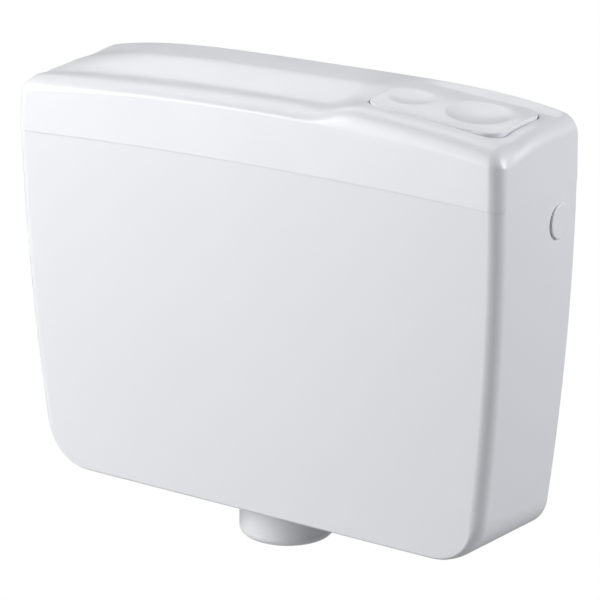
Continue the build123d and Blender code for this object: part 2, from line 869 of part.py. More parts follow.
def make_inlet_valve_body():
    outside = -half_width - inlet_shank_length
    body = along_x(inlet_shank_radius, outside, flange_x, inlet_y, inlet_z)
    nut_face = -half_width - hair_gap - inlet_nut_height
    groove = along_x(inlet_flange_radius, nut_face - inlet_groove_width, nut_face, inlet_y, inlet_z)
    body -= groove - along_x(inlet_groove_radius, nut_face - overrun, nut_face + overrun, inlet_y, inlet_z)
    body += along_x(inlet_flange_radius, washer_x, flange_x, inlet_y, inlet_z)
    body += along_x(inlet_barrel_radius, flange_x, barrel_x, inlet_y, inlet_z)
    stub_x = flange_x + silencer_inset
    stub_low = inlet_z - inlet_barrel_radius - silencer_stub
    body += along_z(silencer_radius + silencer_wall, stub_low, inlet_z, stub_x, inlet_y)
    cheek = arm_width / 2 + arm_slot_side
    for side in (-1, 1):
        near = inlet_y + side * cheek
        far = near + side * arm_ear_wall
        body += along_y(arm_hub_radius, near, far, arm_pivot_x, arm_pivot_z)
        body += block(
            (arm_pivot_x - arm_hub_radius, near, arm_pivot_z),
            (arm_pivot_x + arm_hub_radius, far, inlet_z),
        )
    body -= along_x(inlet_bore, outside - overrun, nozzle_x + overrun, inlet_y, inlet_z)
    body -= along_x(piston_radius + piston_bore_gap, nozzle_x, barrel_x + overrun, inlet_y, inlet_z)
    body -= along_z(
        silencer_radius + hair_gap, stub_low - overrun, stub_low + silencer_stub / 2, stub_x, inlet_y
    )
    body -= along_z(inlet_bore, stub_low, inlet_z, stub_x, inlet_y)
    slot_reach = arm_tail_length / 2
    body -= block(
        (arm_pivot_x - slot_reach, inlet_y - cheek, arm_pivot_z - overrun),
        (barrel_x + overrun, inlet_y + cheek, inlet_z + piston_radius),
    )
    body -= along_y(
        arm_pin_radius + hair_gap / 2, inlet_y - overrun, inlet_y + overrun, arm_pivot_x, arm_pivot_z
    )
    return body


def make_inlet_washer():
    washer = along_x(inlet_washer_radius, -inner_wall_x, washer_x, inlet_y, inlet_z)
    return washer - along_x(inlet_shank_radius + hair_gap, -tank_width, 0, inlet_y, inlet_z)


def hex_nut(x, height, flat, bore):
    """A six-sided nut along X that starts at x."""
    nut = extrude(RegularPolygon(flat / 2, 6, major_radius=False), amount=height)
    nut = Pos(x, inlet_y, inlet_z) * Rot(0, 90, 0) * nut
    return nut - along_x(bore, x - overrun, x + overrun, inlet_y, inlet_z)


def make_inlet_lock_nut():
    start = -half_width - hair_gap - inlet_nut_height
    return hex_nut(start, inlet_nut_height, inlet_nut_flat, inlet_shank_radius + hair_gap)


def make_inlet_nozzle():
    nozzle = along_x(piston_radius, nozzle_x, nozzle_x + nozzle_height, inlet_y, inlet_z)
    nozzle += along_x(nozzle_snout_radius, nozzle_x, snout_x, inlet_y, inlet_z)
    return nozzle - along_x(nozzle_orifice, nozzle_x - overrun, snout_x + overrun, inlet_y, inlet_z)


def make_inlet_piston():
    return along_x(piston_radius, piston_front_x, piston_back_x, inlet_y, inlet_z)


def make_piston_seal():
    return along_x(piston_seal_radius, seal_front_x, piston_front_x, inlet_y, inlet_z)


def make_float_arm():
    half = arm_thickness / 2
    end_x = arm_pivot_x + arm_reach
    end_z = arm_pivot_z - arm_fall
    rail = [
        (arm_pivot_x, arm_pivot_z + half),
        (end_x, end_z + half),
        (end_x, end_z - half),
        (arm_pivot_x, arm_pivot_z - half),
    ]
    arm = side_plate(rail, inlet_y, arm_width)
    tail = arm_width / 2
    arm += block(
        (arm_pivot_x - tail, inlet_y - tail, arm_pivot_z),
        (arm_pivot_x + tail, inlet_y + tail, arm_pivot_z + arm_tail_length),
    )
    arm += along_y(arm_hub_radius, inlet_y - tail, inlet_y + tail, arm_pivot_x, arm_pivot_z)
    arm += along_z(arm_eye_radius, end_z - half, end_z + half, end_x, inlet_y)
    arm -= along_z(adjuster_radius + hair_gap, end_z - overrun, end_z + overrun, end_x, inlet_y)
    return arm - along_y(
        arm_pin_radius + hair_gap, inlet_y - overrun, inlet_y + overrun, arm_pivot_x, arm_pivot_z
    )


def make_float_arm_pin():
    reach = arm_width / 2 + arm_slot_side + arm_ear_wall
    return along_y(arm_pin_radius, inlet_y - reach, inlet_y + reach, arm_pivot_x, arm_pivot_z)


adjuster_top = arm_pivot_z - arm_fall + arm_thickness / 2 + touch_gap
float_bottom = adjuster_top - adjuster_length - float_wall
float_top = float_bottom + float_height


def make_float_adjuster():
    x = arm_pivot_x + arm_reach
    rod = along_z(adjuster_radius, adjuster_top - adjuster_length, adjuster_top, x, inlet_y)
    return rod + along_z(adjuster_head_radius, adjuster_top, adjuster_top + adjuster_head_height, x, inlet_y)


def make_float():
    x = arm_pivot_x + arm_reach
    body = along_z(float_radius, float_bottom, float_top, x, inlet_y + float_set_y)
    body = fillet(body.edges().filter_by(GeomType.CIRCLE), float_edge_radius)
    return body - along_z(
        adjuster_radius + hair_gap, float_bottom + float_wall, float_top + overrun, x, inlet_y
    )


def make_silencer_tube():
    high = inlet_z - inlet_barrel_radius - silencer_stub / 2
    x = flange_x + silencer_inset
    return ring(silencer_radius, silencer_radius - silencer_wall, high - silencer_length, high, x, inlet_y)


def make_blanking_plug():
    start = half_width + hair_gap
    head = along_x(plug_head_radius, start, start + plug_head_height, inlet_y, inlet_z)
    rim = head.edges().filter_by(GeomType.CIRCLE).sort_by(Axis.X)[-1]
    head = fillet(rim, plug_edge_radius)
    return head + along_x(plug_stem_radius, half_width - plug_stem_length, start, inlet_y, inlet_z)


def make_plug_washer():
    start = inner_wall_x - plug_washer_height
    washer = along_x(inlet_washer_radius, start, inner_wall_x, inlet_y, inlet_z)
    return washer - along_x(plug_stem_radius + hair_gap, 0, tank_width, inlet_y, inlet_z)


def make_plug_nut():
    start = inner_wall_x - plug_washer_height - plug_nut_height
    return hex_nut(start, plug_nut_height, inlet_nut_flat, plug_stem_radius + hair_gap)


lid_outer = lid_form(0)
parts = {
    "tank": make_tank(),
    "lid": make_lid(lid_outer),
    "push_plate": make_push_plate(),
    "plate_pivot_pin": make_plate_pivot_pin(),
    "blanking_plug": make_blanking_plug(),
    "plug_washer": make_plug_washer(),
    "plug_nut": make_plug_nut(),
    "flush_pipe_nut": make_flush_pipe_nut(),
    "flush_pipe_seal": make_flush_pipe_seal(),
    "outlet_back_nut": make_outlet_back_nut(),
    "valve_base": make_valve_base(),
    "base_gasket": make_base_gasket(),
    "guide_tower": make_guide_tower(),
    "overflow_tube": make_overflow_tube(),
    "valve_seal": make_valve_seal(),
    "seal_retainer": make_seal_retainer(),
    "flush_float": make_flush_float(),
    "lift_rod": make_lift_rod(),
    "vent_rod": make_vent_rod(),
    "vent_seal": make_vent_seal(),
    "lever_bracket": make_lever_bracket(),
    "bracket_clips": make_bracket_clips(),
    "full_flush_lever": make_lever(
        full_pivot_x, seam + full_pivot_rise, valve_y,
        full_foot_x, seam + full_pad_rise, fork_top, lift_rod_radius
    ),
    "full_lever_pin": make_lever_pin(full_pivot_x, seam + full_pivot_rise, valve_y),
    "half_flush_lever": make_lever(
        half_pivot_x, seam + half_pivot_rise, vent_y,
        half_foot_x, seam + half_pad_rise, half_fork_top, vent_rod_radius
    ),
    "half_lever_pin": make_lever_pin(half_pivot_x, seam + half_pivot_rise, vent_y),
    "inlet_valve_body": make_inlet_valve_body(),
    "inlet_washer": make_inlet_washer(),
    "inlet_lock_nut": make_inlet_lock_nut(),
    "inlet_nozzle": make_inlet_nozzle(),
    "inlet_piston": make_inlet_piston(),
    "piston_seal": make_piston_seal(),
    "float_arm": make_float_arm(),
    "float_arm_pin": make_float_arm_pin(),
    "float_adjuster": make_float_adjuster(),
    "float": make_float(),
    "silencer_tube": make_silencer_tube(),
}

os.makedirs("parts", exist_ok=True)
for name, solid in parts.items():
    export_step(solid, f"parts/{name}.step")
print(len(parts), "parts written")
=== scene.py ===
import json
import math

import bpy
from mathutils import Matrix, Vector


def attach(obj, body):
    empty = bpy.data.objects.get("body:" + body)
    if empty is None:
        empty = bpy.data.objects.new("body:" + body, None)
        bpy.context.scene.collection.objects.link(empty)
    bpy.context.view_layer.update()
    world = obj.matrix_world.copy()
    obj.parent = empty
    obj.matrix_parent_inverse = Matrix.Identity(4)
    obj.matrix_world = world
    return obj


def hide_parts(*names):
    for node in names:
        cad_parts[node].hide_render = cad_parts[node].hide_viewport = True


# A wall-hung plastic toilet cistern with a rocking dual-flush plate. Sizes are in
# millimetres, in the frame of the CAD part: X runs to the right along the wall,
# Y into the wall and Z up. Heights of the lid and the plate count from the seam.
# The camera's and the floor's places are in metres, as the meshes are.

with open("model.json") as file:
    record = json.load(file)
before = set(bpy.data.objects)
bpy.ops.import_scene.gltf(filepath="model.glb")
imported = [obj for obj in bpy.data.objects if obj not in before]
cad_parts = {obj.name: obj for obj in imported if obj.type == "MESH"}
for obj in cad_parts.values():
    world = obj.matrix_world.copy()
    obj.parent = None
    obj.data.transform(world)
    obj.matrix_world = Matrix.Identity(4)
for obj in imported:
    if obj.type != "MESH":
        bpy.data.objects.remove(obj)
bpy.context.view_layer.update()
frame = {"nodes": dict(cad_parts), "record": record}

mm = 0.001

# Tank
half_width = 218.0
tank_depth = 115.0
tank_height = 280.5
tank_wall = 3.0
side_draw_in = 17.9
side_bulge = 4.85
front_lean = 10.9
back_corner_radius = 28.0
front_corner_radius = 44.0
tank_edge_radius = 10.5
tank_foot_rise = 4.5
tank_foot_reach = 16.0
seam = 18.0
seam_arch = 4.8
seam_gap = 0.22
tank_bottom = seam - tank_height
tank_floor = tank_bottom + tank_wall
blank_rise = 14.0
hollow_rise = 30.0
overrun = 20.0
root = 0.5

# Bosses, pegs and holes of the tank
screw_x = 120.0
screw_hole_radius = 4.0
screw_boss_radius = 10.0
screw_boss_height = 2.0
peg_places = (47.0, 93.0)
peg_z = seam - 23.0
peg_radius = 3.0
peg_length = 7.0
inlet_y = -26.0
inlet_z = seam - 25.0
inlet_hole_radius = 10.8
valve_y = -53.705
vent_y = -73.717
outlet_hole_radius = 30.1

# Lid
lid_margin = 0.5
lid_wall = 2.6
lid_back_rise = 60.9
lid_back_drop = 12.7
lid_back_round = 2.2
lid_ledge_rise = 51.6
lid_ledge_drop = 8.0
lid_front_rise = 44.5
lid_front_drop = 13.0
lid_right_dip = 5.0
lid_left_dip = 3.0
lid_left_draft = 2.4
lid_right_draft = 1.0
draft_height = 35.0
draft_power = 1.5
swell_fall = 0.7
slope_start = 34.0
slope_end = 79.0
slope_left_reach = 7.0
groove_ahead = 3.0
groove_reach = 5.0
groove_depth = 0.5
crest_ahead = 5.0
plain_crest_ahead = 8.0
front_flatness = 2.0
plate_front_flatness = 1.6
front_power = 0.56
end_drop = 3.0
end_run = (75.0, 100.0)

# Lid round the plate
blend_start = 49.5
blend_end = 93.5
flush_start = 17.0
flush_end = 203.0
step_at_back = 0.8
step_at_front = 0.2
step_run = (78.0, 88.0)
dip_at_back = 0.55
dip_run = (60.0, 90.0)
groove_fade = 0.8
well_wall = 2.0
well_rise = 39.0
lip_drop = 7.0
lip_rise = 2.0
lip_root = 1.3
lip_outside = 3.7
lip_inside = 5.5
lid_pin_hole_radius = 2.02
lid_pin_hole_ends = (-14.0, -93.0)

# Rocking plate
plate_length = 112.0
plate_depth = 72.0
plate_x = 143.0
plate_y = -53.5
plate_rise = 55.4
plate_fall = math.tan(math.radians(4.7))
plate_swell = 1.6
plate_drop = 3.0
plate_slope_end = 89.0
plate_corners = ((1, 1, 15.0), (-1, 1, 24.0), (-1, -1, 15.0), (1, -1, 15.0))
plate_gap = 1.3
plate_wall = 2.2
plate_edge = 0.7
plate_edge_band = 3.0
skirt_drop = 2.5
plate_z = seam + plate_rise
pin_z = plate_z - 8.6
lug_reach = 27.0
lug_radius = 5.0
lug_half_thickness = 1.75
lug_top = plate_z - 3.2
plate_pin_hole_radius = 2.05
foot_radius = 4.0
feet = ((187.5, valve_y, seam + 21.6), (98.5, vent_y, seam + 26.6))
dish_soften = 0.3
dishes = ((108.5, -55.0, 17.0, 2.2), (164.5, -53.0, 25.0, 3.2))

# Plug and nut, as closed profiles of (radius, distance along the axis, rounding)
plug_profile = (
    (0.02, -14.05, 0), (9.8, -14.05, 0.6), (9.8, 0, 0),
    (13.25, 0, 0.3), (13.25, 1.8, 0.9), (0.02, 1.8, 0),
)
plug_gap = 0.05
nut_high = tank_bottom - 0.3
nut_low = tank_bottom - 28.8
nut_recess = tank_bottom - 8.3
nut_floor = nut_low + 3.6
nut_profile = (
    (25.5, nut_low, 0.6), (38.3, nut_low, 6.0), (38.3, nut_high, 0.5), (35.7, nut_high, 0.5),
    (35.7, nut_recess, 0), (29.85, nut_recess, 0.4), (29.85, nut_floor, 0), (25.5, nut_floor, 0.4),
)

# Camera
camera_azimuth = 33.37
camera_elevation = 17.50
camera_roll = 0.40
camera_distance = 2.081
camera_target = Vector((0.0036, -0.0433, -0.1014))
camera_lens = 160.5

# Lights: name, azimuth, elevation, distance, size, power and colour
warm, plain, cool = (1.0, 0.995, 0.99), (1.0, 1.0, 1.0), (0.97, 0.975, 1.0)
lights = (
    ("key_light", -50, 30, 1.3, 0.9, 6.1, warm),
    ("left_light", -58, 22, 2.4, 1.6, 12.0, warm),
    ("high_light", -32, 40, 2.4, 1.6, 12.2, plain),
    ("low_light", -26, 4, 2.4, 1.6, 23.5, plain),
    ("side_light", 115, 22, 2.0, 1.2, 29, cool),
    ("back_light", 215, 45, 2.0, 1.4, 7.0, plain),
)
fill_strength = 0.18
floor_size = 60
floor_z = -1.25


# Camera and light


def aim(obj, target):
    """Turn a camera or a light towards a point."""
    back = (obj.location - target).normalized()
    obj.rotation_euler = back.to_track_quat("Z", "Y").to_euler()


def direction(azimuth, elevation):
    """The unit vector towards a compass angle round the object and a height."""
    a, e = math.radians(azimuth), math.radians(elevation)
    return Vector((math.sin(a) * math.cos(e), -math.cos(a) * math.cos(e), math.sin(e)))


def make_camera():
    bpy.ops.object.camera_add()
    camera = bpy.context.object
    camera.name = "photo_camera"
    towards = direction(camera_azimuth, camera_elevation)
    camera.location = camera_target + towards * camera_distance
    aim(camera, camera_target)
    camera.rotation_euler.rotate_axis("Z", math.radians(camera_roll))
    camera.data.lens = camera_lens
    camera.data.clip_start = 0.05
    camera.data.clip_end = 50
    bpy.context.scene.camera = camera


def area_light(name, azimuth, elevation, distance, size, power, colour):
    bpy.ops.object.light_add(type="AREA")
    light = bpy.context.object
    light.name = name
    light.location = camera_target + direction(azimuth, elevation) * distance
    aim(light, camera_target)
    light.data.shape = "DISK"
    light.data.size = size
    light.data.energy = power
    light.data.color = colour


def seen_or_fill(nodes, links, seen, fill, output):
    """Show one shader to the camera and light the scene with the other."""
    path = nodes.new("ShaderNodeLightPath")
    mix = nodes.new("ShaderNodeMixShader")
    links.new(path.outputs["Is Camera Ray"], mix.inputs["Fac"])
    links.new(fill.outputs[0], mix.inputs[1])
    links.new(seen.outputs[0], mix.inputs[2])
    links.new(mix.outputs[0], output.inputs["Surface"])


def make_studio():
    for light in lights:
        area_light(*light)
    world = bpy.data.worlds.new("studio_world")
    bpy.context.scene.world = world
    world.use_nodes = True
    nodes, links = world.node_tree.nodes, world.node_tree.links
    fill = nodes["Background"]
    fill.inputs["Color"].default_value = (0.95, 0.97, 1.0, 1)
    fill.inputs["Strength"].default_value = fill_strength
    white = nodes.new("ShaderNodeBackground")
    white.inputs["Color"].default_value = (1, 1, 1, 1)
    white.inputs["Strength"].default_value = 1.0
    seen_or_fill(nodes, links, white, fill, nodes["World Output"])
    bpy.context.scene.view_settings.view_transform = "Standard"


def make_floor():
    """The room's pale floor, a metre below the cistern, which hangs on its wall."""
    bpy.ops.mesh.primitive_plane_add(size=floor_size, location=(0, 0, floor_z))
    floor = bpy.context.object
    floor.name = "studio_floor"
    material = bpy.data.materials.new("pale_floor")
    material.use_nodes = True
    nodes, links = material.node_tree.nodes, material.node_tree.links
    fill = nodes["Principled BSDF"]
    fill.inputs["Base Color"].default_value = (0.5, 0.5, 0.5, 1)
    fill.inputs["Roughness"].default_value = 0.9
    seen = nodes.new("ShaderNodeEmission")
    seen.inputs["Color"].default_value = (1, 1, 1, 1)
    seen.inputs["Strength"].default_value = 1.0
    seen_or_fill(nodes, links, seen, fill, nodes["Material Output"])
    floor.data.materials.append(material)


# Working on meshes


def select_only(piece):
    bpy.ops.object.select_all(action="DESELECT")
    piece.select_set(True)
    bpy.context.view_layer.objects.active = piece


def settle(piece):
    """Move a piece's place into its mesh."""
    select_only(piece)
    bpy.ops.object.transform_apply(location=True, rotation=True, scale=True)
    return piece


def modify(piece, kind, **settings):
    """Add one modifier to a piece and apply it."""
    select_only(piece)
    bpy.ops.object.modifier_add(type=kind)
    modifier = piece.modifiers[-1]
    for key, value in settings.items():
        setattr(modifier, key, value)
    bpy.ops.object.modifier_apply(modifier=modifier.name)
    return piece


def combine(piece, other, operation):
    modify(piece, "BOOLEAN", object=other, operation=operation, solver="EXACT")
    bpy.data.objects.remove(other)
    return piece


def cut(piece, *others):
    for other in others:
        combine(piece, other, "DIFFERENCE")
    return piece


def add(piece, *others):
    for other in others:
        combine(piece, other, "UNION")
    return piece


def outwards(piece):
    """Merge the doubles of a closed solid and turn its faces outwards."""
    select_only(piece)
    bpy.ops.object.mode_set(mode="EDIT")
    bpy.ops.mesh.select_all(action="SELECT")
    bpy.ops.mesh.remove_doubles(threshold=0.000002)
    bpy.ops.mesh.normals_make_consistent(inside=False)
    bpy.ops.object.mode_set(mode="OBJECT")
    return piece


turn_to = {"x": (0, math.pi / 2, 0), "y": (math.pi / 2, 0, 0), "z": (0, 0, 0)}


def round_bar(axis, radius, start, end, first, second, sides=72):
    """A round bar along one axis; first and second are its places on the other two."""
    middle = (start + end) / 2
    places = {
        "x": (middle, first, second),
        "y": (first, middle, second),
        "z": (first, second, middle),
    }
    bpy.ops.mesh.primitive_cylinder_add(
        vertices=sides, radius=radius * mm, depth=abs(end - start) * mm,
        location=Vector(places[axis]) * mm, rotation=turn_to[axis],
    )
    return settle(bpy.context.object)


def block(low, high):
    """A box between two corners."""
    low, high = Vector(low), Vector(high)
    bpy.ops.mesh.primitive_cube_add(size=1, location=(low + high) / 2 * mm)
    box = bpy.context.object
    box.scale = (high - low) * mm
    return settle(box)


def drawn_out(points, reach):
    """A solid from a flat outline of points, drawn out by reach."""
    bpy.ops.mesh.primitive_circle_add(vertices=len(points), fill_type="NGON")
    solid = bpy.context.object
    for vertex, point in zip(solid.data.vertices, points):
        vertex.co = Vector(point) * mm
    bpy.ops.object.mode_set(mode="EDIT")
    bpy.ops.mesh.select_all(action="SELECT")
    bpy.ops.mesh.extrude_region_move(TRANSFORM_OT_translate={"value": Vector(reach) * mm})
    bpy.ops.object.mode_set(mode="OBJECT")
    return outwards(solid)


def ringed(rings):
    """A closed solid from rings of points, with a flat face at each end."""
    mesh = bpy.data.meshes.new("ringed")
    count = len(rings[0])
    points = [Vector(point) * mm for ring in rings for point in ring]
    faces = [tuple(range(count)), tuple(range(len(points) - count, len(points)))]
    for row in range(len(rings) - 1):
        for step in range(count):
            near, far = row * count + step, row * count + (step + 1) % count
            faces.append((near, far, far + count, near + count))
    mesh.from_pydata(points, [], faces)
    solid = bpy.data.objects.new("ringed", mesh)
    bpy.context.scene.collection.objects.link(solid)
    return outwards(solid)


def turned(profile, axis, start, first, second, steps=96):
    """A solid spun about an axis from a closed profile of (radius, distance from start)."""
    bpy.ops.mesh.primitive_circle_add(vertices=len(profile), fill_type="NOTHING")
    solid = bpy.context.object
    for vertex, (radius, height) in zip(solid.data.vertices, profile):
        vertex.co = Vector((radius, 0, start + height)) * mm
    bpy.ops.object.mode_set(mode="EDIT")
    bpy.ops.mesh.select_all(action="SELECT")
    bpy.ops.mesh.spin(steps=steps, angle=2 * math.pi, center=(0, 0, 0), axis=(0, 0, 1))
    bpy.ops.object.mode_set(mode="OBJECT")
    outwards(solid)
    solid.rotation_euler = turn_to[axis]
    places = {"x": (0, first, second), "y": (first, 0, second), "z": (first, second, 0)}
    solid.location = Vector(places[axis]) * mm
    return settle(solid)


def rounded(points, steps=5):
    """A profile with its corners rounded; each point is (radius, distance, rounding)."""
    result = []
    count = len(points)
    for index, (x, z, bend) in enumerate(points):
        here = Vector((x, z))
        if not bend:
            result.append((x, z))
            continue
        before = (Vector(points[index - 1][:2]) - here).normalized()
        after = (Vector(points[(index + 1) % count][:2]) - here).normalized()
        half = before.angle(after) / 2
        reach = bend / math.tan(half)
        middle = here + (before + after).normalized() * (bend / math.sin(half))
        start, end = here + before * reach - middle, here + after * reach - middle
        for step in range(steps + 1):
            spoke = start.lerp(end, step / steps)
            result.append(tuple(middle + spoke.normalized() * bend))
    return result


def shade(piece, angle=32):
    """Smooth shading, with edges sharper than angle kept."""
    select_only(piece)
    bpy.ops.object.shade_smooth_by_angle(angle=math.radians(angle))
    modify(piece, "WEIGHTED_NORMAL", keep_sharp=True)


def finish_piece(piece, name, body, node, material):
    """Name a piece, give it its material and body, and let it stand for its CAD node."""
    piece.name = name
    piece.data.name = name
    piece.data.materials.clear()
    piece.data.materials.append(material)
    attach(piece, body)
    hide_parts(node)


# Tank


def ease(share):
    """A smooth step from 0 to 1, flat at both ends."""
    share = min(max(share, 0), 1)
    return share**3 * (share * (share * 6 - 15) + 10)


def seam_height(x):
    """Height of the arched seam between the tank and the lid."""
    radius = (half_width**2 + seam_arch**2) / (2 * seam_arch)
    return seam + seam_arch - radius + math.sqrt(radius**2 - x**2)


def side_arc():
    """Centre and radius of the bowed side of the tank."""
    chord = math.hypot(side_draw_in, tank_height)
    sag = side_bulge * tank_height / chord
    radius = (chord**2 / 4 + sag**2) / (2 * sag)
    centre_x = half_width - side_draw_in / 2 + (sag - radius) * tank_height / chord
    centre_z = seam - tank_height / 2 + (radius - sag) * side_draw_in / chord
    return centre_x, centre_z, radius


def tank_right_edge(inset, bend, rows=26, turns=14):
    """Points down the right side of the tank and round its lower corner, in X and Z."""
    centre_x, centre_z, radius = side_arc()
    corner_z = tank_bottom + bend
    corner_x = centre_x + math.sqrt((radius - bend) ** 2 - (corner_z - centre_z) ** 2)
    first = math.atan2(seam - centre_z, half_width - centre_x)
    last = math.atan2(corner_z - centre_z, corner_x - centre_x)
    points = []
    for row in range(rows + 1):
        angle = first + (last - first) * row / rows
        reach = radius - inset
        points.append((centre_x + reach * math.cos(angle), centre_z + reach * math.sin(angle)))
    for turn in range(1, turns + 1):
        angle = last + (-math.pi / 2 - last) * turn / turns
        reach = bend - inset
        points.append((corner_x + reach * math.cos(angle), corner_z + reach * math.sin(angle)))
    return points


def tank_outline(inset, bend, top):
    """Points round the tank seen from the front, and the inward direction at each of them."""
    right = [(half_width - inset, top)] + tank_right_edge(inset, bend)
    inward = [Vector((-1, 0))]
    for before, after in zip(right, right[2:]):
        along = (Vector(after) - Vector(before)).normalized()
        inward.append(Vector((along.y, -along.x)))
    inward.append(Vector((0, 1)))
    outline = [(Vector(point), turn) for point, turn in zip(right, inward)]
    mirror = Vector((-1, 1))
    return outline + [(point * mirror, turn * mirror) for point, turn in reversed(outline)]


def tank_solid(inset, top):
    """The tank's closed outer form, or the form inset from it, up to a flat top."""
    slope = front_lean / tank_height
    shift = inset / math.cos(math.atan(slope))

    def front(z):
        return shift - tank_depth + slope * (seam - z)

    def rounding(z, foot):
        share = ease((z - tank_bottom - inset) / front_corner_radius)
        return max(foot + (tank_edge_radius - foot) * share - inset, 0.8)

    rings = []
    for step in range(7):
        share = step / 6
        bend = back_corner_radius + (front_corner_radius - back_corner_radius) * share
        ring = []
        for point, _ in tank_outline(inset, bend, top):
            edge = front(point.y) + rounding(point.y, tank_foot_reach)
            ring.append((point.x, -inset + (edge + inset) * share, point.y))
        rings.append(ring)
    for turn in range(1, 10):
        angle = math.pi / 2 * turn / 9
        ring = []
        for point, inward in tank_outline(inset, front_corner_radius, top):
            rise = rounding(point.y, tank_foot_rise) * (1 - math.cos(angle))
            reach = rounding(point.y, tank_foot_reach) * (1 - math.sin(angle))
            place = point + inward * rise
            ring.append((place.x, front(place.y) + reach, place.y))
        rings.append(ring)
    return ringed(rings)


def under_seam(columns=96):
    """The space under the arched seam."""
    reach, low = half_width + overrun, tank_bottom - overrun
    points = []
    for column in range(columns + 1):
        x = reach * (2 * column / columns - 1)
        points.append((x, overrun, seam_height(x)))
    points += [(reach, overrun, low), (-reach, overrun, low)]
    return drawn_out(points, (0, -tank_depth - 2 * overrun, 0))


def make_tank_shell(material):
    tank = tank_solid(0, seam + blank_rise)
    combine(tank, under_seam(), "INTERSECT")
    cut(tank, tank_solid(tank_wall, seam + hollow_rise))
    inside = -tank_wall
    for side in (-1, 1):
        x = side * screw_x
        boss_end = inside - screw_boss_height
        add(tank, round_bar("y", screw_boss_radius, inside + root, boss_end, x, 0, 48))
        cut(tank, round_bar("y", screw_hole_radius, overrun, -overrun, x, 0, 48))
        start, end = side * (half_width - overrun), side * (half_width + overrun)
        cut(tank, round_bar("x", inlet_hole_radius, start, end, inlet_y, inlet_z))
    for x in peg_places:
        add(tank, round_bar("y", peg_radius, inside + root, inside - peg_length, x, peg_z, 32))
    low, high = tank_bottom - overrun, tank_floor + overrun
    cut(tank, round_bar("z", outlet_hole_radius, low, high, 0, valve_y, 96))
    shade(tank)
    finish_piece(tank, "tank_shell", "tank_body", "tank", material)


# Lid


def run_share(reach, run):
    """A smooth step along a run given by its start and end."""
    start, end = run
    return ease((reach - start) / (end - start))


def slope_share(share):
    """Drop of the lid's swell: gently at first, steep, then sharply out into the groove."""
    share = min(max(share, 0), 1)
    return 1.5 * share**2 - 0.5 * share**6


def flush_height(x, y):
    """Height above the seam of the plate's top, which follows the lid's swell."""
    slope = slope_share((-y - slope_start) / (plate_slope_end - slope_start))
    return plate_rise + plate_swell - plate_fall * (x - plate_x) - plate_drop * slope


def plate_share(x):
    """0 on the plain left part of the lid, 1 round the plate."""
    share = min(max((x - blend_start) / (blend_end - blend_start), 0), 1)
    return share * share * (3 - 2 * share)


def lid_levels(x):
    """Heights of the lid's back, ledge and front edge, and its dip towards the ends."""
    place = abs(x) / half_width
    dip = (lid_right_dip if x > 0 else lid_left_dip) * place**6
    back = lid_back_rise - lid_back_drop * place**4
    ledge = lid_ledge_rise - lid_ledge_drop * place**2 - (dip / 2 if x > 0 else 0)
    front = lid_front_rise - lid_front_drop * place**2.2
    return back, ledge, front, dip


def slope_foot(x):
    """How far from the wall the swell's slope ends, further at the left end and by the plate."""
    left = slope_left_reach * (abs(x) / half_width) ** 4 if x < 0 else 0
    return slope_end + left + (plate_slope_end - slope_end) * plate_share(x)


def lid_top(x, y):
    """Height above the seam of the lid's top, back of its rounded front."""
    back, ledge, _, dip = lid_levels(x)
    reach, foot, share = -y, slope_foot(x), plate_share(x)
    swell = back - swell_fall * (min(reach, slope_start) / slope_start) ** 2
    swell -= dip * ease(reach / slope_start)
    plain = swell + (ledge - swell) * slope_share((reach - slope_start) / (foot - slope_start))
    below = step_at_back + (step_at_front - step_at_back) * run_share(reach, step_run)
    below += dip * (dip_at_back + (1 - dip_at_back) * run_share(reach, dip_run))
    by_plate = flush_height(min(x, flush_end), y) - below
    flush = back + (by_plate - back) * ease(reach / flush_start)
    groove = math.exp(-(((reach - foot - groove_ahead) / groove_reach) ** 2))
    groove *= groove_depth * (1 - groove_fade * share)
    past_end = max(abs(x) - flush_end, 0) / (half_width - flush_end)
    corner = end_drop * past_end**2 * run_share(reach, end_run)
    return plain + (flush - plain) * share - groove - corner


def lid_outline(x, bend, crest, depth):
    """Points over the lid at one place along X, from the back down to the front's foot."""
    high, front = lid_top(x, 0), lid_levels(x)[2]
    fall = lid_top(x, -crest) - front
    points = []
    for turn in range(4):
        angle = math.pi / 2 * turn / 4
        points.append((-bend * (1 - math.cos(angle)), high - bend * (1 - math.sin(angle))))
    for step in range(51):
        y = -bend - (crest - bend) * step / 50
        points.append((y, lid_top(x, y)))
    flat = front_flatness + plate_front_flatness * plate_share(x)
    for turn in range(1, 33):
        forward = math.sin(math.pi / 2 * turn / 32)
        height = max(1 - forward**flat, 0) ** front_power
        points.append((-crest - (depth - crest) * forward, front + fall * height))
    return points


def lid_ring(x, inset, draw, low):
    """The closed ring of the lid at one place along X, drawn in by draw at its top and front."""
    depth, drawn_in = tank_depth + lid_margin, inset + draw
    crest = slope_foot(x) + crest_ahead + plain_crest_ahead * (1 - plate_share(x))
    ring = []
    for y, z in lid_outline(x, max(lid_back_round - inset, 0.2), crest, depth):
        forward = min(max((-y - crest) / (depth - crest), 0), 1) ** 2
        upward = math.sqrt(1 - forward**2)
        ring.append((x, min(y + drawn_in * forward, -inset), seam + z - drawn_in * upward))
    start_z, end_z = ring[-1][2], low(x)
    for row in range(1, 5):
        ring.append((x, -depth + drawn_in, start_z + (end_z - start_z) * row / 4))
    ring.append((x, -inset, end_z))
    draft = (lid_right_draft if x > 0 else -lid_left_draft) * (abs(x) / half_width) ** 3
    return [
        (x - draft * (max(z - seam, 0) / draft_height) ** draft_power, y, z) for x, y, z in ring
    ]


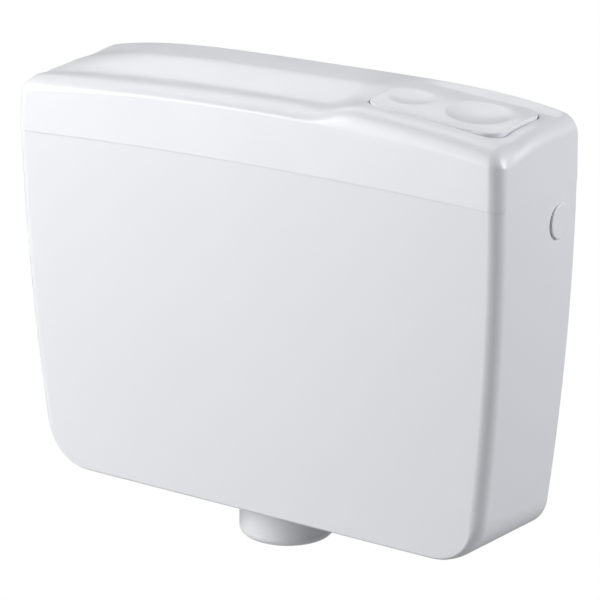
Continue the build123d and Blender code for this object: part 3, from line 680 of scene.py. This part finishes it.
def lid_solid(inset, low):
    """The lid's closed outer form, or the form inset from it, with rounded ends."""
    radius = tank_edge_radius + lid_margin - inset
    shoulder = half_width + lid_margin - inset - radius
    columns = 72
    stations = [(shoulder * (2 * column / columns - 1), 0) for column in range(columns + 1)]
    ends = []
    for turn in range(1, 10):
        angle = math.pi / 2 * turn / 9
        ends.append((shoulder + radius * math.sin(angle), radius * (1 - math.cos(angle))))
    stations = [(-x, draw) for x, draw in reversed(ends)] + stations + ends
    return ringed([lid_ring(x, inset, draw, low) for x, draw in stations])


def plate_outline(grow, corner_steps=12, side_step=3.0):
    """Points round the plate's outline, grown by grow, in X and Y."""
    arcs = []
    for index, (sx, sy, bend) in enumerate(plate_corners):
        radius = bend + grow
        middle = Vector((
            plate_x + sx * (plate_length / 2 + grow - radius),
            plate_y + sy * (plate_depth / 2 + grow - radius),
        ))
        arc = []
        for step in range(corner_steps + 1):
            angle = math.pi / 2 * (index + step / corner_steps)
            arc.append(middle + radius * Vector((math.cos(angle), math.sin(angle))))
        arcs.append(arc)
    points = []
    for index, arc in enumerate(arcs):
        here, there = arc[-1], arcs[(index + 1) % 4][0]
        count = max(round((there - here).length / side_step), 1)
        points += arc + [here.lerp(there, step / count) for step in range(1, count)]
    return [tuple(point) for point in points]


def plate_column(grow, low, high):
    """The plate's outline drawn up from low to high."""
    return drawn_out([(x, y, low) for x, y in plate_outline(grow)], (0, 0, high - low))


def rim_column(inset, low, high, turns=8):
    """The plan of the tank's rim, drawn in by inset and drawn up from low to high."""
    radius = tank_edge_radius - inset
    points = [(half_width - inset, -inset, low), (inset - half_width, -inset, low)]
    for side, first in ((-1, 180), (1, 270)):
        for turn in range(turns + 1):
            angle = math.radians(first + 90 * turn / turns)
            x = side * (half_width - tank_edge_radius) + radius * math.cos(angle)
            y = radius * math.sin(angle) + tank_edge_radius - tank_depth
            points.append((x, y, low))
    return drawn_out(points, (0, 0, high - low))


def above_seam(x):
    return seam_height(x) + seam_gap


def below_seam(x):
    return seam - overrun


def make_lid_shell(material):
    lid = lid_solid(0, above_seam)
    cut(lid, lid_solid(lid_wall, below_seam))
    well = plate_column(plate_gap + well_wall, seam + well_rise, seam + lid_back_rise + 3)
    combine(well, lid_solid(0.02, above_seam), "INTERSECT")
    add(lid, well)
    lip_low, lip_high = seam - lip_drop, seam + seam_arch + lip_rise
    lip = rim_column(lip_outside, lip_low, lip_high)
    add(lip, rim_column(lip_root, seam + seam_arch + seam_gap, lip_high))
    cut(lip, rim_column(lip_inside, lip_low - 5, lip_high + 5))
    add(lid, lip)
    cut(lid, plate_column(plate_gap, seam, seam + lid_back_rise + overrun))
    cut(lid, round_bar("y", lid_pin_hole_radius, *lid_pin_hole_ends, plate_x, pin_z, 32))
    shade(lid)
    finish_piece(lid, "lid_shell", "lid_body", "lid", material)


# Rocking plate


def dish_depth(x, y):
    """How deep the finger dishes are at one place."""
    deep = 0
    for dish_x, dish_y, radius, depth in dishes:
        away = math.hypot(x - dish_x, y - dish_y) / radius
        bowl = depth * (1 - away**2)
        deep += (bowl + math.sqrt(bowl**2 + dish_soften**2)) / 2
    return deep


def plate_top(x, y):
    return seam + flush_height(x, y) - dish_depth(x, y)


def plate_ring(outline, share, below=0):
    """An outline drawn together by share towards the plate's middle, and laid on its top."""
    ring = []
    for x, y in outline:
        x, y = plate_x + (x - plate_x) * share, plate_y + (y - plate_y) * share
        ring.append((x, y, plate_top(x, y) - below))
    return ring


def plate_solid():
    """The plate as one closed form, with its rounded edge and its dishes."""
    outline = plate_outline(0, 14, 2.0)
    rings = [
        [(x, y, pin_z - skirt_drop) for x, y in outline],
        [(x, y, seam + flush_height(x, y) - plate_edge_band) for x, y in outline],
    ]
    for turn in range(7):
        angle = math.pi / 2 * turn / 6
        grow, drop = -plate_edge * (1 - math.cos(angle)), plate_edge * (1 - math.sin(angle))
        rings.append(plate_ring(plate_outline(grow, 14, 2.0), 1, drop))
    inner = plate_outline(-plate_edge, 14, 2.0)
    for step in range(32):
        rings.append(plate_ring(inner, 0.97 - 0.03 * step))
    rings.append(plate_ring(inner, 0.015))
    return ringed(rings)


def plate_hollow():
    """The space under the plate's top, inside its skirt."""
    outline = plate_outline(-plate_wall, 14, 2.0)
    rings = [[(x, y, pin_z - skirt_drop - 5) for x, y in outline]]
    for step in range(10):
        rings.append(plate_ring(outline, 1 - 0.1 * step, plate_wall))
    rings.append(plate_ring(outline, 0.03, plate_wall))
    return ringed(rings)


def plate_foot(x, y, low):
    """A foot with a round end, from the plate down to a lever."""
    middle = low + foot_radius
    foot = round_bar("z", foot_radius, middle, plate_top(x, y) - 1.0, x, y, 32)
    bpy.ops.mesh.primitive_uv_sphere_add(
        segments=32, ring_count=16, radius=foot_radius * mm, location=Vector((x, y, middle)) * mm
    )
    return add(foot, settle(bpy.context.object))


def make_push_plate_shell(material):
    plate = cut(plate_solid(), plate_hollow())
    for side in (-1, 1):
        y = plate_y + side * lug_reach
        low, high = y - lug_half_thickness, y + lug_half_thickness
        left, right = plate_x - lug_radius, plate_x + lug_radius
        add(plate, block((left, low, pin_z), (right, high, lug_top)))
        add(plate, round_bar("y", lug_radius, low, high, plate_x, pin_z, 40))
    for foot in feet:
        add(plate, plate_foot(*foot))
    hole_ends = (overrun, -tank_depth)
    cut(plate, round_bar("y", plate_pin_hole_radius, *hole_ends, plate_x, pin_z, 32))
    shade(plate)
    finish_piece(plate, "push_plate_shell", "plate_body", "push_plate", material)


# Plug and nut


def make_plug_cap(material):
    cap = turned(rounded(plug_profile), "x", half_width + plug_gap, inlet_y, inlet_z)
    shade(cap)
    finish_piece(
        cap, "blanking_plug_cap", "tank_body", "blanking_plug", material
    )


def make_outlet_nut(material):
    nut = turned(rounded(nut_profile), "z", 0, 0, valve_y, 120)
    shade(nut)
    finish_piece(nut, "outlet_nut", "tank_body", "flush_pipe_nut", material)


# The other nodes, merged and smoothed


def smooth_copy(node, body, material):
    """A merged and smoothed copy that stands for a CAD node."""
    source = frame["nodes"][node]
    piece = source.copy()
    piece.data = source.data.copy()
    for key in list(piece.keys()):
        del piece[key]
    piece.parent = None
    bpy.context.scene.collection.objects.link(piece)
    select_only(piece)
    bpy.ops.object.mode_set(mode="EDIT")
    bpy.ops.mesh.select_all(action="SELECT")
    bpy.ops.mesh.remove_doubles(threshold=0.00001)
    bpy.ops.object.mode_set(mode="OBJECT")
    shade(piece, 30)
    finish_piece(piece, node + "_piece", body, node, material)


# Materials


def new_group(name, inputs, outputs):
    """An empty shader node group with named inputs and outputs."""
    group = bpy.data.node_groups.new(name, "ShaderNodeTree")
    for label, kind, value in inputs:
        socket = group.interface.new_socket(
            name=label, in_out="INPUT", socket_type="NodeSocket" + kind
        )
        if value is not None:
            socket.default_value = value
    for label, kind in outputs:
        group.interface.new_socket(
            name=label, in_out="OUTPUT", socket_type="NodeSocket" + kind
        )
    return group, group.nodes.new("NodeGroupInput"), group.nodes.new("NodeGroupOutput")


def noise(tree, place, scale, detail=3.0, roughness=0.55):
    """A noise texture; scale is a number or a socket."""
    texture = tree.nodes.new("ShaderNodeTexNoise")
    texture.inputs["Detail"].default_value = detail
    texture.inputs["Roughness"].default_value = roughness
    tree.links.new(place, texture.inputs["Vector"])
    if isinstance(scale, (int, float)):
        texture.inputs["Scale"].default_value = scale
    else:
        tree.links.new(scale, texture.inputs["Scale"])
    return texture.outputs["Fac"]


def spread(tree, value, low=0.35, high=0.65):
    """Stretch the middle of a noise to 0 to 1."""
    node = tree.nodes.new("ShaderNodeMapRange")
    node.interpolation_type = "SMOOTHSTEP"
    node.inputs["From Min"].default_value = low
    node.inputs["From Max"].default_value = high
    tree.links.new(value, node.inputs["Value"])
    return node.outputs["Result"]


def blend_colours(tree, share, first, second):
    node = tree.nodes.new("ShaderNodeMix")
    node.data_type = "RGBA"
    tree.links.new(share, node.inputs["Factor"])
    tree.links.new(first, node.inputs["A"])
    tree.links.new(second, node.inputs["B"])
    return node.outputs["Result"]


def blend_values(tree, share, first, second):
    node = tree.nodes.new("ShaderNodeMix")
    tree.links.new(share, node.inputs[0])
    tree.links.new(first, node.inputs[2])
    tree.links.new(second, node.inputs[3])
    return node.outputs[0]


def make_skin_group():
    """A moulded or pressed skin: slow cloudy colour, patches of gloss and a fine grain."""
    group, given, result = new_group(
        "moulded_skin",
        [
            ("Place", "Vector", None),
            ("Colour", "Color", (0.8, 0.8, 0.8, 1)),
            ("Cloud", "Color", (0.78, 0.78, 0.78, 1)),
            ("Cloud Scale", "Float", 9.0),
            ("Gloss Scale", "Float", 45.0),
            ("Grain Scale", "Float", 900.0),
            ("Smooth", "Float", 0.3),
            ("Rough", "Float", 0.4),
        ],
        [("Colour", "Color"), ("Roughness", "Float"), ("Height", "Float")],
    )
    place = given.outputs["Place"]
    cloud = spread(group, noise(group, place, given.outputs["Cloud Scale"]))
    gloss = spread(group, noise(group, place, given.outputs["Gloss Scale"], 2.0))
    grain = noise(group, place, given.outputs["Grain Scale"], 4.0, 0.6)
    colour = blend_colours(group, cloud, given.outputs["Colour"], given.outputs["Cloud"])
    roughness = blend_values(group, gloss, given.outputs["Smooth"], given.outputs["Rough"])
    group.links.new(colour, result.inputs["Colour"])
    group.links.new(roughness, result.inputs["Roughness"])
    group.links.new(grain, result.inputs["Height"])
    return group


def make_flow_group():
    """Faint streaks along one direction, as plastic flows in a mould or steel is drawn."""
    group, given, result = new_group(
        "flow_streaks",
        [
            ("Place", "Vector", None),
            ("Stretch", "Vector", (60.0, 60.0, 600.0)),
            ("Colour", "Color", (0.8, 0.8, 0.8, 1)),
            ("Streak", "Color", (0.76, 0.76, 0.76, 1)),
        ],
        [("Colour", "Color"), ("Streaks", "Float")],
    )
    mapping = group.nodes.new("ShaderNodeMapping")
    group.links.new(given.outputs["Place"], mapping.inputs["Vector"])
    group.links.new(given.outputs["Stretch"], mapping.inputs["Scale"])
    streaks = spread(group, noise(group, mapping.outputs["Vector"], 1.0, 5.0, 0.65), 0.3, 0.7)
    colour = blend_colours(group, streaks, given.outputs["Colour"], given.outputs["Streak"])
    group.links.new(colour, result.inputs["Colour"])
    group.links.new(streaks, result.inputs["Streaks"])
    return group


def place_group(material, group, values):
    """Put a group into a material, with its own values and the object's coordinates."""
    nodes, links = material.node_tree.nodes, material.node_tree.links
    node = nodes.new("ShaderNodeGroup")
    node.node_tree = group
    places = nodes.new("ShaderNodeTexCoord")
    links.new(places.outputs["Object"], node.inputs["Place"])
    for label, value in values.items():
        node.inputs[label].default_value = value
    return node


def start_material(name):
    material = bpy.data.materials.new(name)
    material.use_nodes = True
    return material, material.node_tree.nodes["Principled BSDF"], material.node_tree.links


def bump(material, height, strength, distance):
    """Raise a height as bump into the material's normal."""
    node = material.node_tree.nodes.new("ShaderNodeBump")
    node.inputs["Strength"].default_value = strength
    node.inputs["Distance"].default_value = distance
    links = material.node_tree.links
    links.new(height, node.inputs["Height"])
    links.new(node.outputs["Normal"], material.node_tree.nodes["Principled BSDF"].inputs["Normal"])


def skin_material(name, skin, colour, cloud, scales, gloss, grain):
    """A moulded finish whose colour, roughness and grain come from the skin group.

    scales are those of cloud, gloss and grain, gloss is the least and the most
    roughness, and grain is the strength and the height of the bump.
    """
    material, shader, links = start_material(name)
    node = place_group(material, skin, {
        "Colour": (*colour, 1),
        "Cloud": (*cloud, 1),
        "Cloud Scale": scales[0],
        "Gloss Scale": scales[1],
        "Grain Scale": scales[2],
        "Smooth": gloss[0],
        "Rough": gloss[1],
    })
    links.new(node.outputs["Colour"], shader.inputs["Base Color"])
    links.new(node.outputs["Roughness"], shader.inputs["Roughness"])
    bump(material, node.outputs["Height"], *grain)
    return material, shader, node


def streak_over(material, shader, node, flow, stretch, streak):
    """Lay the flow streaks over the colour of a skin."""
    links = material.node_tree.links
    streaks = place_group(material, flow, {"Stretch": stretch, "Streak": (*streak, 1)})
    links.new(node.outputs["Colour"], streaks.inputs["Colour"])
    links.new(streaks.outputs["Colour"], shader.inputs["Base Color"])


def make_white_shell(skin):
    """White polystyrene with a satin gloss and a hardly visible orange peel."""
    material, shader, _ = skin_material(
        "white_shell_plastic", skin,
        colour=(0.800, 0.810, 0.835), cloud=(0.790, 0.801, 0.828),
        scales=(7, 30, 700), gloss=(0.29, 0.35), grain=(0.12, 0.00003),
    )
    shader.inputs["IOR"].default_value = 1.5
    shader.inputs["Coat Weight"].default_value = 0.08
    shader.inputs["Coat Roughness"].default_value = 0.18
    return material


def make_acetal(skin, flow):
    """Natural acetal of the valve parts, milky with faint flow streaks."""
    material, shader, node = skin_material(
        "natural_acetal", skin,
        colour=(0.80, 0.795, 0.755), cloud=(0.76, 0.755, 0.71),
        scales=(28, 90, 1500), gloss=(0.38, 0.52), grain=(0.2, 0.00004),
    )
    streak_over(material, shader, node, flow, (90, 90, 9), (0.74, 0.735, 0.69))
    shader.inputs["Subsurface Weight"].default_value = 0.12
    shader.inputs["Subsurface Scale"].default_value = 0.002
    return material


def make_float_plastic(skin, flow):
    """Pale grey polypropylene of the floats and rods."""
    material, shader, node = skin_material(
        "grey_float_plastic", skin,
        colour=(0.50, 0.565, 0.61), cloud=(0.46, 0.525, 0.57),
        scales=(22, 70, 1200), gloss=(0.42, 0.55), grain=(0.25, 0.00005),
    )
    streak_over(material, shader, node, flow, (70, 70, 12), (0.43, 0.49, 0.535))
    return material


def make_rubber(skin):
    """Soft black rubber of the seals, with a matt grain and a pale bloom."""
    material, shader, _ = skin_material(
        "black_seal_rubber", skin,
        colour=(0.018, 0.018, 0.020), cloud=(0.038, 0.038, 0.041),
        scales=(60, 200, 2600), gloss=(0.55, 0.78), grain=(0.5, 0.00006),
    )
    shader.inputs["Specular IOR Level"].default_value = 0.35
    return material


def make_pin_steel(flow):
    """Stainless pins with lines drawn along them."""
    material, shader, links = start_material("drawn_pin_steel")
    node = place_group(material, flow, {
        "Stretch": (2600, 25, 2600),
        "Colour": (0.60, 0.60, 0.61, 1),
        "Streak": (0.45, 0.45, 0.46, 1),
    })
    links.new(node.outputs["Colour"], shader.inputs["Base Color"])
    shader.inputs["Metallic"].default_value = 1.0
    gloss = material.node_tree.nodes.new("ShaderNodeMapRange")
    gloss.inputs["To Min"].default_value = 0.22
    gloss.inputs["To Max"].default_value = 0.42
    links.new(node.outputs["Streaks"], gloss.inputs["Value"])
    links.new(gloss.outputs["Result"], shader.inputs["Roughness"])
    bump(material, node.outputs["Streaks"], 0.3, 0.00002)
    return material


make_camera()
make_studio()
make_floor()
skin_group, flow_group = make_skin_group(), make_flow_group()
materials = {
    "shell_plastic": make_white_shell(skin_group),
    "valve_plastic": make_acetal(skin_group, flow_group),
    "float_plastic": make_float_plastic(skin_group, flow_group),
    "seal_rubber": make_rubber(skin_group),
    "pin_steel": make_pin_steel(flow_group),
}
slots = {row["node"]: row["material_slot"] for row in frame["record"]["subparts"]}
white = materials["shell_plastic"]
make_tank_shell(white)
make_lid_shell(white)
make_push_plate_shell(white)
make_plug_cap(white)
make_outlet_nut(white)
shells = ("tank", "lid", "push_plate", "blanking_plug", "flush_pipe_nut")
riders = frame["record"]["behaviour"]["bodies"]
for body, names in riders.items():
    for name in names:
        if name not in shells:
            smooth_copy(name, body, materials[slots[name]])
for name, node in frame["nodes"].items():
    node.data.materials.clear()
    node.data.materials.append(materials[slots[name]])
